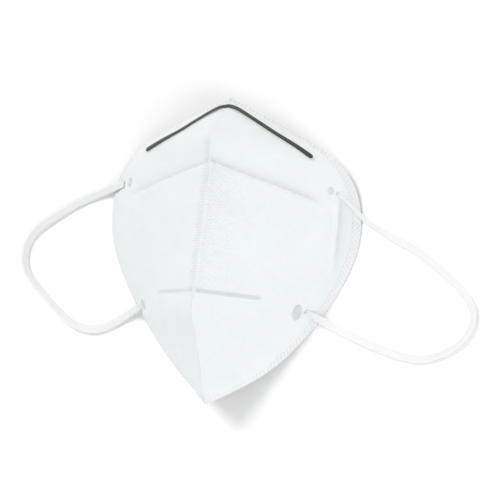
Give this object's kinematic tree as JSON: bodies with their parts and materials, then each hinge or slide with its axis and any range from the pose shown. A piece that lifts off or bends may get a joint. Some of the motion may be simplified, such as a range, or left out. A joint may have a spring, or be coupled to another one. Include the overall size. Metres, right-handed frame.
{
  "type": "disposable dust mask",
  "caption": "Vertical fold-flat white dust mask, half open on its face opening, with a dark nose clip across the nose and a flat elastic ear loop welded to each side",
  "frame": {"origin": "centre of the mask body on the surface it rests on, ear loops left out", "axes": "+X to the right ear loop, +Y from the chin to the nose, +Z away from the face, up from the surface"},
  "size_m": [0.245, 0.1535, 0.0523],
  "materials": {
    "cover": "matte spunbond sheet",
    "filter": "melt-blown sheet",
    "cotton": "soft hot-air cotton",
    "lining": "soft spunbond lining",
    "rim": "pressed and dotted weld",
    "seam": "pressed weld",
    "clip": "satin dark coating",
    "glue": "translucent hot glue",
    "foam": "soft grey foam",
    "weld": "fused oval spot",
    "elastic": "knitted flat elastic"
  },
  "bodies": {
    "right_half": {"outer_cover_right": "cover", "filter_first_right": "filter", "filter_second_right": "filter", "cotton_layer_right": "cotton", "inner_lining_right": "lining", "rim_weld_right": "rim", "nose_clip_right": "clip", "clip_glue_right": "glue", "nose_foam_right": "foam", "loop_weld_upper_right": "weld", "loop_weld_lower_right": "weld", "nose_seam": "seam", "front_fold": "seam", "chin_seam": "seam"},
    "left_half": {"outer_cover_left": "cover", "filter_first_left": "filter", "filter_second_left": "filter", "cotton_layer_left": "cotton", "inner_lining_left": "lining", "rim_weld_left": "rim", "nose_clip_left": "clip", "clip_glue_left": "glue", "nose_foam_left": "foam", "loop_weld_upper_left": "weld", "loop_weld_lower_left": "weld"},
    "right_ear_loop": {"ear_loop_right": "elastic"},
    "left_ear_loop": {"ear_loop_left": "elastic"}
  },
  "joints": [
    {"name": "centre_fold", "type": "hinge", "parent": "right_half", "child": "left_half", "pos_m": [0, 0.011, 0.047], "axis": [0, -0.9939, 0.11], "range_deg": [-15, 60], "deforming": ["outer_cover_right", "filter_first_right", "filter_second_right", "cotton_layer_right", "inner_lining_right", "rim_weld_right", "nose_clip_right", "clip_glue_right", "nose_foam_right", "nose_seam", "front_fold", "chin_seam", "outer_cover_left", "filter_first_left", "filter_second_left", "cotton_layer_left", "inner_lining_left", "rim_weld_left", "nose_clip_left", "clip_glue_left", "nose_foam_left"]},
    {"name": "right_loop_swing", "type": "hinge", "parent": "right_half", "child": "right_ear_loop", "pos_m": [0.0692, 0.0204, 0.0026], "axis": [-0.3431, -0.9393, 0], "range_deg": [-90, 115], "deforming": ["ear_loop_right"]},
    {"name": "left_loop_swing", "type": "hinge", "parent": "left_half", "child": "left_ear_loop", "pos_m": [-0.069, 0.0292, 0.0026], "axis": [-0.284, 0.9588, 0], "range_deg": [-90, 115], "deforming": ["ear_loop_left"]}
  ]
}
